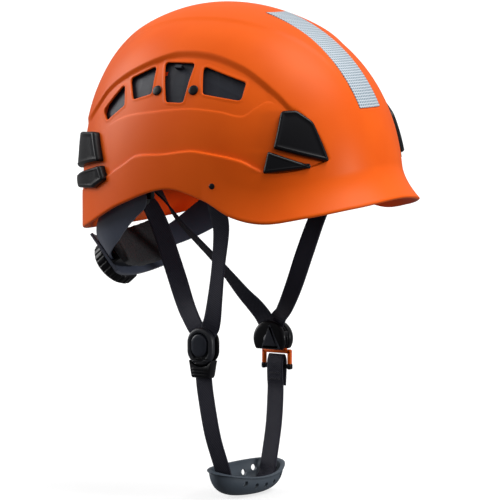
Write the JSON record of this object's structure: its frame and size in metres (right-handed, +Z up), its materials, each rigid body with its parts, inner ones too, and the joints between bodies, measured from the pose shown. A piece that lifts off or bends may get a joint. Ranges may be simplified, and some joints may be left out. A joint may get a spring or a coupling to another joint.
{
  "type": "arborist helmet",
  "caption": "Ventilated climbing helmet for tree work: moulded shell with closable side vents, lamp clips, textile harness, geared nape adjuster and chin strap with side-release buckle.",
  "frame": {"origin": "centre of the wearer's head at the height of the rim datum, midway between the side walls of the shell", "axes": "+X forward towards the brim, +Y to the wearer's left, +Z up towards the crown"},
  "size_m": [0.2833, 0.2074, 0.3925],
  "materials": {
    "orange_shell": "satin",
    "reflective": "retroreflective film",
    "black_plastic": "fine grain",
    "grey_plastic": "satin",
    "webbing": "woven",
    "foam_fabric": "knitted cover on foam",
    "cup_rubber": "matt",
    "screw_steel": "zinc plated"
  },
  "bodies": {
    "shell_body": {"shell": "orange_shell", "reflective_strip": "reflective", "shutter_pegs": "black_plastic", "lamp_clip_front_right": "black_plastic", "lamp_clip_front_left": "black_plastic", "lamp_clip_rear_right": "black_plastic", "lamp_clip_rear_left": "black_plastic", "harness_clips": "black_plastic", "crown_strap_lower": "webbing", "crown_strap_upper": "webbing", "crown_pad": "foam_fabric", "headband": "black_plastic", "brow_pad": "foam_fabric", "rear_yoke": "webbing", "strap_rivets": "black_plastic", "front_strap_right": "webbing", "front_strap_left": "webbing", "rear_strap_right": "webbing", "rear_strap_left": "webbing", "divider_front": "black_plastic", "divider_back": "black_plastic", "divider_spring": "screw_steel", "junction_plate": "black_plastic", "junction_rivet": "screw_steel"},
    "shutter_right": {"vent_shutter_right": "grey_plastic"},
    "shutter_left": {"vent_shutter_left": "grey_plastic"},
    "nape_frame": {"nape_housing": "black_plastic", "nape_cover": "grey_plastic", "nape_pad": "foam_fabric"},
    "arm_right": {"arm_right": "grey_plastic"},
    "arm_left": {"arm_left": "grey_plastic"},
    "knob": {"pinion": "black_plastic", "knob": "black_plastic", "knob_screw": "screw_steel"},
    "divider_button": {"divider_button": "black_plastic"},
    "chin": {"divider_swivel": "black_plastic", "buckle_receiver": "black_plastic", "lower_strap_right": "webbing", "lower_strap_left": "webbing", "chin_cup": "cup_rubber", "release_spring": "screw_steel"},
    "release": {"release_button": "black_plastic"},
    "tongue": {"buckle_tongue": "orange_shell", "tongue_tips": "black_plastic"}
  },
  "joints": [
    {"name": "shutter_right_slide", "type": "hinge", "parent": "shell_body", "child": "shutter_right", "pos_m": [0, 0, 0.066], "axis": [1, 0, 0], "range_deg": [0, 8]},
    {"name": "shutter_left_slide", "type": "hinge", "parent": "shell_body", "child": "shutter_left", "pos_m": [0, 0, 0.066], "axis": [-1, 0, 0], "range_deg": [0, 8]},
    {"name": "nape_tilt", "type": "hinge", "parent": "shell_body", "child": "nape_frame", "pos_m": [-0.05, 0, 0.012], "axis": [0, 1, 0], "range_deg": [-25, 4]},
    {"name": "knob_spin", "type": "hinge", "parent": "nape_frame", "child": "knob", "pos_m": [-0.05, 0, 0.012], "axis": [0.766, 0, 0.6428], "range_deg": [-112, 112]},
    {"name": "arm_left_slide", "type": "hinge", "parent": "nape_frame", "child": "arm_left", "pos_m": [-0.05, 0, 0.012], "axis": [-0.6428, 0, 0.766], "range_deg": [-7.15, 7.15]},
    {"name": "arm_right_slide", "type": "hinge", "parent": "nape_frame", "child": "arm_right", "pos_m": [-0.05, 0, 0.012], "axis": [-0.6428, 0, 0.766], "range_deg": [-7.15, 7.15]},
    {"name": "divider_press", "type": "slide", "parent": "shell_body", "child": "divider_button", "axis": [0, 1, 0], "range_m": [0, 0.0012], "stiffness_N_per_m": 500, "springref_m": -0.001},
    {"name": "chin_swing", "type": "hinge", "parent": "shell_body", "child": "chin", "pos_m": [-0.0035, 0, -0.108], "axis": [0, 1, 0], "range_deg": [-20, 20]},
    {"name": "release_press", "type": "slide", "parent": "chin", "child": "release", "axis": [0, -1, 0], "range_m": [0, 0.0014], "stiffness_N_per_m": 400, "springref_m": -0.001},
    {"name": "tongue_slide", "type": "slide", "parent": "chin", "child": "tongue", "axis": [0, 0, -1], "range_m": [0, 0.016], "deforming": ["lower_strap_left"]}
  ],
  "couplings": [
    {"joint": "arm_left_slide", "follows": "knob_spin", "ratio": 0.063291},
    {"joint": "arm_right_slide", "follows": "knob_spin", "ratio": -0.061728}
  ]
}
